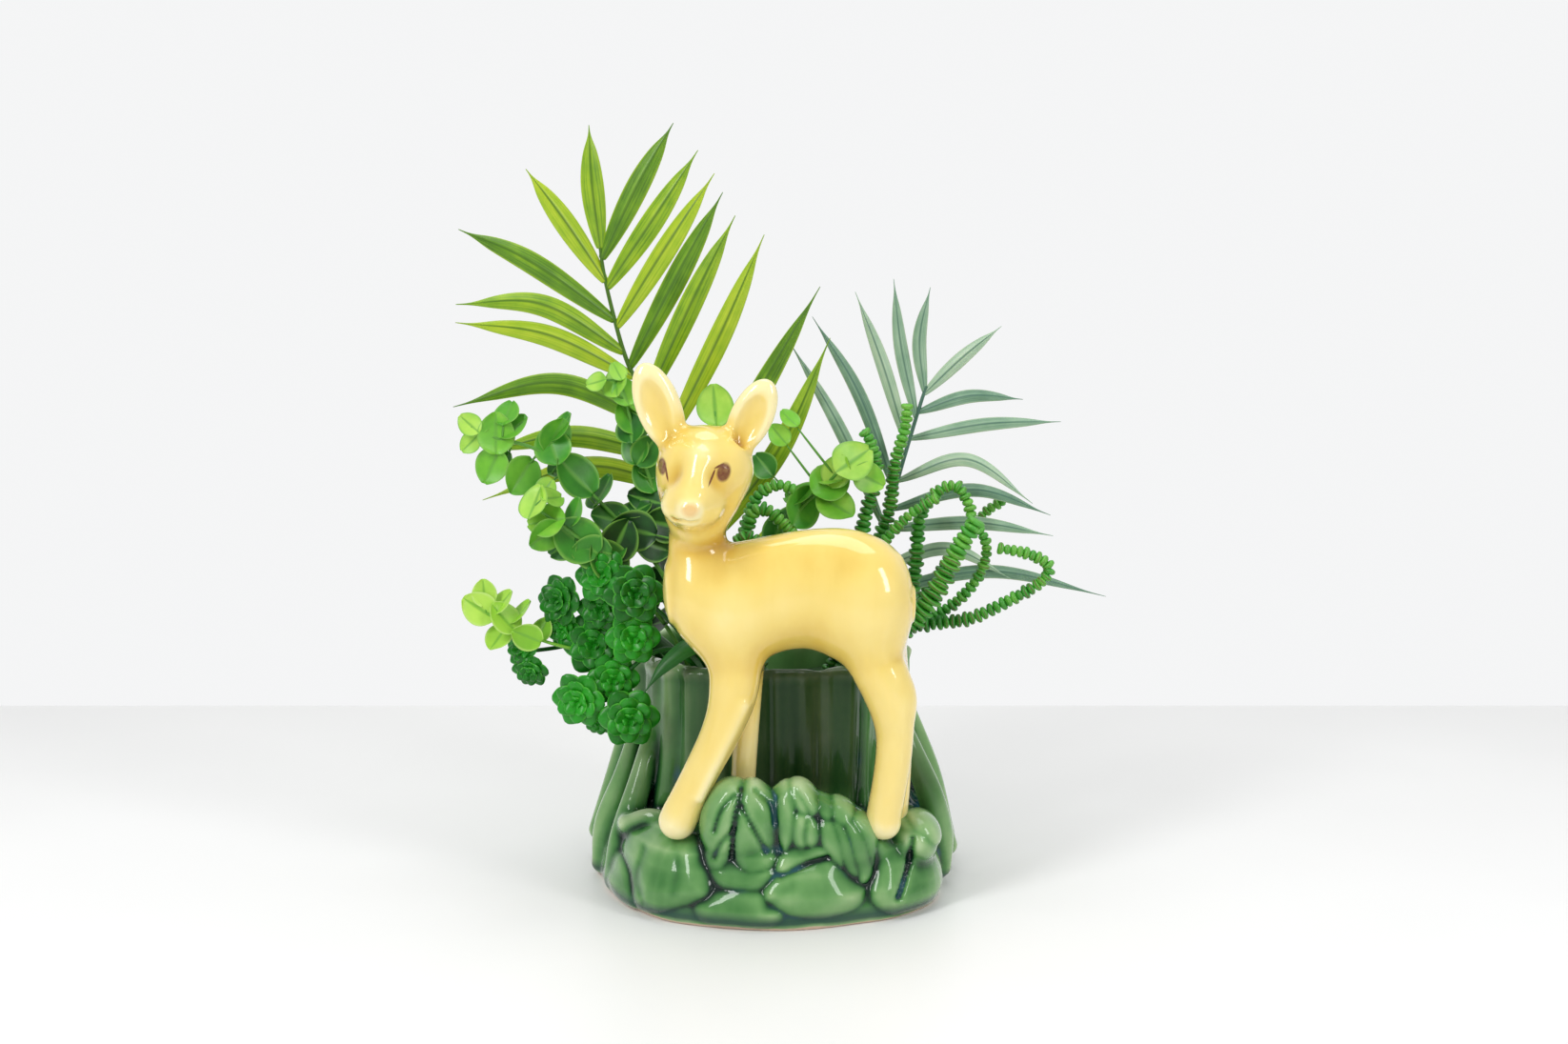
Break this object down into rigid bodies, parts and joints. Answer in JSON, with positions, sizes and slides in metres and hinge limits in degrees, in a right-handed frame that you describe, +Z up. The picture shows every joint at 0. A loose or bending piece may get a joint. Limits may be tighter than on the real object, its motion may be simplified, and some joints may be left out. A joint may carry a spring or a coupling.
{
  "type": "television lamp planter",
  "caption": "Ceramic fawn beside a hollow tree-stump planter with a lift-out artificial arrangement, and a switched bulb holder in an alcove behind.",
  "frame": {"origin": "centre of the ceramic foot, on the surface it stands on", "axes": "+Z up, +X to the viewer's right, -Y the front, where the fawn stands; the bulb alcove opens to +Y"},
  "size_m": [0.326, 0.1938, 0.371],
  "materials": {
    "green_glaze": "gloss glaze, pale on the ridges and dark where it pooled",
    "honey_glaze": "gloss honey-yellow glaze, paler on the high points",
    "brass": "bright drawn brass, lightly tarnished",
    "plated_steel": "zinc plated",
    "liner_paper": "waxed fibre paper",
    "phenolic": "moulded black phenolic",
    "black_rubber": "matt",
    "bulb_glass": "frosted",
    "aluminium": "rolled thread",
    "mount_glass": "clear, with a wire filament on it",
    "foam": "crushable dry floral foam",
    "palm_plastic": "moulded leaf, yellow-green with a darker midrib",
    "blue_palm_plastic": "moulded leaf, grey-green with paler edges",
    "eucalyptus_plastic": "moulded leaf, lime at the rim and darker in the middle",
    "rosette_plastic": "moulded petal, saturated green with a reddish throat",
    "lime_plastic": "moulded leaf, lime",
    "dark_leaf_plastic": "moulded leaf, dark green",
    "vine_plastic": "moulded buttons, green with brownish edges"
  },
  "bodies": {
    "lamp": {"stump_planter": "green_glaze", "fawn": "honey_glaze", "threaded_nipple": "brass", "upper_washer": "plated_steel", "lower_washer": "plated_steel", "nipple_nut": "brass", "socket_cap": "brass", "socket_shell": "brass", "socket_liner": "liner_paper", "socket_body": "phenolic", "screw_shell": "brass", "centre_contact": "brass", "terminal_screw_left": "brass", "terminal_screw_right": "brass", "cord_grommet": "black_rubber"},
    "bulb": {"bulb_glass": "bulb_glass", "bulb_base": "aluminium", "bulb_mount": "mount_glass"},
    "switch": {"switch_spindle": "brass", "switch_knob": "phenolic"},
    "arrangement": {"floral_foam": "foam", "palm_frond": "palm_plastic", "blue_palm_frond": "blue_palm_plastic", "eucalyptus_spray_1": "eucalyptus_plastic", "eucalyptus_spray_2": "eucalyptus_plastic", "eucalyptus_spray_3": "eucalyptus_plastic", "eucalyptus_spray_4": "eucalyptus_plastic", "eucalyptus_spray_5": "eucalyptus_plastic", "lime_sprig": "lime_plastic", "rosette_spray_1": "rosette_plastic", "rosette_spray_2": "rosette_plastic", "rosette_spray_3": "rosette_plastic", "rosette_spray_4": "rosette_plastic", "strap_leaf_1": "dark_leaf_plastic", "strap_leaf_2": "dark_leaf_plastic", "button_vine_1": "vine_plastic", "button_vine_2": "vine_plastic", "button_vine_3": "vine_plastic", "button_vine_4": "vine_plastic", "button_vine_5": "vine_plastic", "button_vine_6": "vine_plastic", "button_vine_7": "vine_plastic", "button_vine_8": "vine_plastic", "button_vine_9": "vine_plastic", "button_vine_10": "vine_plastic", "button_vine_11": "vine_plastic"}
  },
  "joints": [
    {"name": "arrangement_lift", "type": "slide", "parent": "lamp", "child": "arrangement", "axis": [0, 0, 1], "range_m": [0, 0.14]},
    {"name": "bulb_turn", "type": "hinge", "parent": "lamp", "child": "bulb", "pos_m": [0, 0.064, 0.09], "axis": [0, 0, 1], "continuous": true},
    {"name": "knob_turn", "type": "hinge", "parent": "lamp", "child": "switch", "pos_m": [0, 0.09, 0.054], "axis": [0, 1, 0], "continuous": true}
  ]
}
